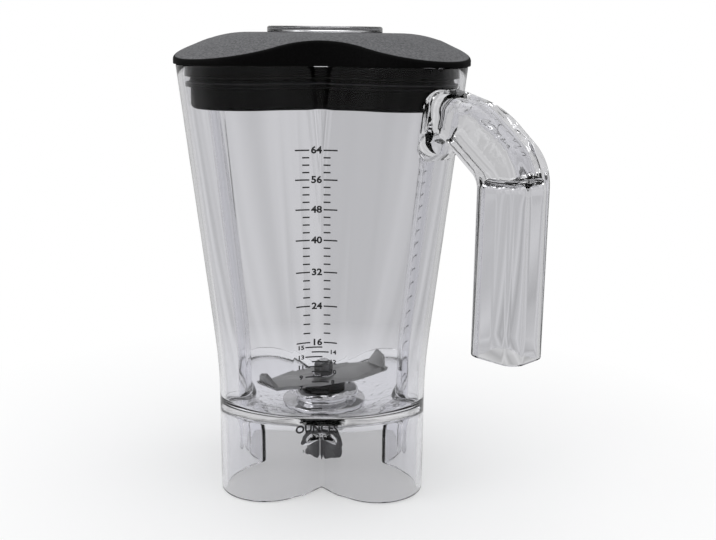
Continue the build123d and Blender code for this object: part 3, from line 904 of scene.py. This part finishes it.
lid_rings += [at_level(fin_side, fin_top - fin_round), at_level(fin_side, fin_bottom + fin_round)]
lid_rings += [between(at_level(plug_side, fin_bottom), at_level(fin_side, fin_bottom), 0.3),
              at_level(plug_side, fin_bottom - fin_blend)]
lid_rings += [at_level(jar_outline(plug_section, plug_inset + back, False), plug_bottom + drop)
              for back, drop in quarter_round(plug_round, 6)]
hollow_side = jar_outline(plug_section, plug_inset + plug_wall, False)
lid_rings.append(at_level(hollow_side, plug_bottom))
collar_ring = [scaled_to(point, collar_outside, 0) for point in hollow_side]
for share in (0.0, 0.2, 0.4, 0.6, 0.8, 1.0):
    lid_rings.append([(across, along, lid_level((across, along)) - lid_skin)
                      for across, along, _ in between(hollow_side, collar_ring, share)])
lid_rings.append(at_level(collar_ring, collar_bottom))
lid = skin_over("lid_moulding", lid_rings)
# The last value is the tone of the painted sheen on the lid's upward faces.
lid_rubber = moulded_rubber("grained lid rubber", 0.0006, 0.0025, 0.6, 0.75, 900.0, 0.2)
finish_piece(lid, lid_rubber, "lid", "black_rubber", "lid")

# Filler cap: a clear copolyester cup, moulded in one piece and turned open side down. It drops into the
# hole in the lid, and its flat rim rests on the lid's top.
cap_middle = 2.0
cap_top = 256.4
cap_under_top = 254.4
cap_bottom = 233.0
cap_rim = 31.7
cap_outside = 26.6
cap_inside = 24.4
cap_tint = (0.9, 0.9, 0.92, 1.0)
cap_ripple = 0.08
cap = turned_piece("filler_cap_moulding", [
    (cap_middle, cap_top, 0.0), (cap_rim, cap_top, 1.2), (cap_rim, lid_top, 0.4), (cap_outside, lid_top, 0.3),
    (cap_outside, cap_bottom, 0.6), (cap_inside, cap_bottom, 0.6), (cap_inside, cap_under_top, 1.0),
    (cap_middle, cap_under_top, 0.0)], ends=((0.0, 0.0, cap_top), (0.0, 0.0, cap_under_top)))
cap_plastic = clear_moulding("cap copolyester", cap_tint, cap_ripple)
finish_piece(cap, cap_plastic, "filler_cap", "clear_plastic", "filler_cap")

# Stage: a pale floor that runs on into a white surround, two soft lamps, and a camera in front of the flute
# that carries the ounce scale. Steel and clear plastic show the surround as a pale, uneven grey.
backdrop_range = (0.45, 0.75, 0.35, 0.65)
floor_grey = 0.8
floor_size = 6.0
floor_drop = 0.0006


def larger(add, tree, first, second):
    """The larger of two values in a node tree."""
    node = add("ShaderNodeMath", operation="MAXIMUM")
    tree.links.new(first, node.inputs[0])
    tree.links.new(second, node.inputs[1])
    return node.outputs[0]


def ray_kinds(add, tree):
    """A value that is 1 for camera rays, and one that is 1 for camera, glossy and transmission rays."""
    seen = add("ShaderNodeLightPath").outputs
    mirrored = larger(add, tree, seen["Is Camera Ray"], seen["Is Glossy Ray"])
    return seen["Is Camera Ray"], larger(add, tree, mirrored, seen["Is Transmission Ray"])


bpy.ops.object.select_all(action="DESELECT")
bpy.ops.mesh.primitive_plane_add(size=floor_size, location=(0, 0, -floor_drop))
floor = bpy.context.object
floor.name = "studio_floor"
floor_paint, tree, shader, add = new_material("studio floor paint")
shader.inputs["Base Color"].default_value = (0.9, 0.9, 0.9, 1.0)
shader.inputs["Roughness"].default_value = 0.8
by_camera, by_sight = ray_kinds(add, tree)
place = add("ShaderNodeTexCoord")
away = add("ShaderNodeVectorMath", operation="LENGTH")
bearing = add("ShaderNodeVectorMath", operation="NORMALIZE")
streaks = add("ShaderNodeTexNoise", Scale=5.0, Detail=2.0)
lifted = add("ShaderNodeMix", B=floor_grey)
share = add("ShaderNodeMath", operation="MULTIPLY")
white = add("ShaderNodeEmission", Color=(1.0, 1.0, 1.0, 1.0))
mixed = add("ShaderNodeMixShader")
tree.links.new(place.outputs["Object"], away.inputs[0])
tree.links.new(place.outputs["Object"], bearing.inputs[0])
tree.links.new(bearing.outputs["Vector"], streaks.inputs["Vector"])
uneven = spread(add, tree, streaks.outputs["Fac"], *backdrop_range)
close_by = spread(add, tree, away.outputs["Value"], 1.0, 0.0, 0.1, 0.3)
fade = spread(add, tree, away.outputs["Value"], 0.45, 1.0, 0.05, 0.3)
tree.links.new(uneven, lifted.inputs["A"])
tree.links.new(close_by, lifted.inputs["Factor"])
tree.links.new(larger(add, tree, lifted.outputs["Result"], by_camera), white.inputs["Strength"])
tree.links.new(by_sight, share.inputs[0])
tree.links.new(fade, share.inputs[1])
tree.links.new(share.outputs[0], mixed.inputs[0])
tree.links.new(shader.outputs[0], mixed.inputs[1])
tree.links.new(white.outputs[0], mixed.inputs[2])
tree.links.new(mixed.outputs[0], tree.nodes["Material Output"].inputs["Surface"])
floor.data.materials.append(floor_paint)

world = bpy.data.worlds.new("studio surround")
bpy.context.scene.world = world
world.use_nodes = True
tree = world.node_tree
add = node_adder(tree)
surround = tree.nodes["Background"]
surround.inputs["Color"].default_value = (0.94, 0.96, 1.0, 1.0)
surround.inputs["Strength"].default_value = 0.55
backdrop = add("ShaderNodeBackground", Color=(1.0, 1.0, 1.0, 1.0))
by_camera, by_sight = ray_kinds(add, tree)
place = add("ShaderNodeTexCoord")
upright = add("ShaderNodeMapping", Scale=(6.0, 6.0, 0.7))
folds = add("ShaderNodeTexNoise", Scale=1.0)
mixed = add("ShaderNodeMixShader")
tree.links.new(place.outputs["Generated"], upright.inputs["Vector"])
tree.links.new(upright.outputs["Vector"], folds.inputs["Vector"])
uneven = spread(add, tree, folds.outputs["Fac"], *backdrop_range)
tree.links.new(larger(add, tree, uneven, by_camera), backdrop.inputs["Strength"])
tree.links.new(by_sight, mixed.inputs[0])
tree.links.new(surround.outputs[0], mixed.inputs[1])
tree.links.new(backdrop.outputs[0], mixed.inputs[2])
tree.links.new(mixed.outputs[0], tree.nodes["World Output"].inputs["Surface"])

for name, place, size, power in (("overhead lamp", (0.1, 0.1, 1.5), 1.2, 9.0),
                                 ("window lamp", (-0.6, -1.3, 1.0), 1.0, 8.0)):
    bpy.ops.object.light_add(type="AREA", location=place)
    lamp = bpy.context.object
    lamp.name = name
    lamp.data.size = size
    lamp.data.energy = power
    aim = lamp.location.normalized()
    lamp.rotation_euler = aim.to_track_quat("Z", "Y").to_euler()

camera_distance = 573.0
camera_height = 255.0
camera_shift_right = 19.5
camera_roll = radians(0.6)
camera_pitch = radians(13.35)
camera_data = bpy.data.cameras.new("photograph camera")
camera_data.sensor_width = 36.0
camera_data.lens = 51.03
camera = bpy.data.objects.new("photograph camera", camera_data)
bpy.context.scene.collection.objects.link(camera)
camera.location = ((camera_distance + camera_shift_right) * MM / sqrt(2),
                   (camera_shift_right - camera_distance) * MM / sqrt(2), camera_height * MM)
camera.rotation_euler = (pi / 2 - camera_pitch, 0.0, pi / 4)
camera.rotation_euler.rotate_axis("Z", camera_roll)
bpy.context.scene.camera = camera
bpy.context.scene.view_settings.view_transform = "Standard"
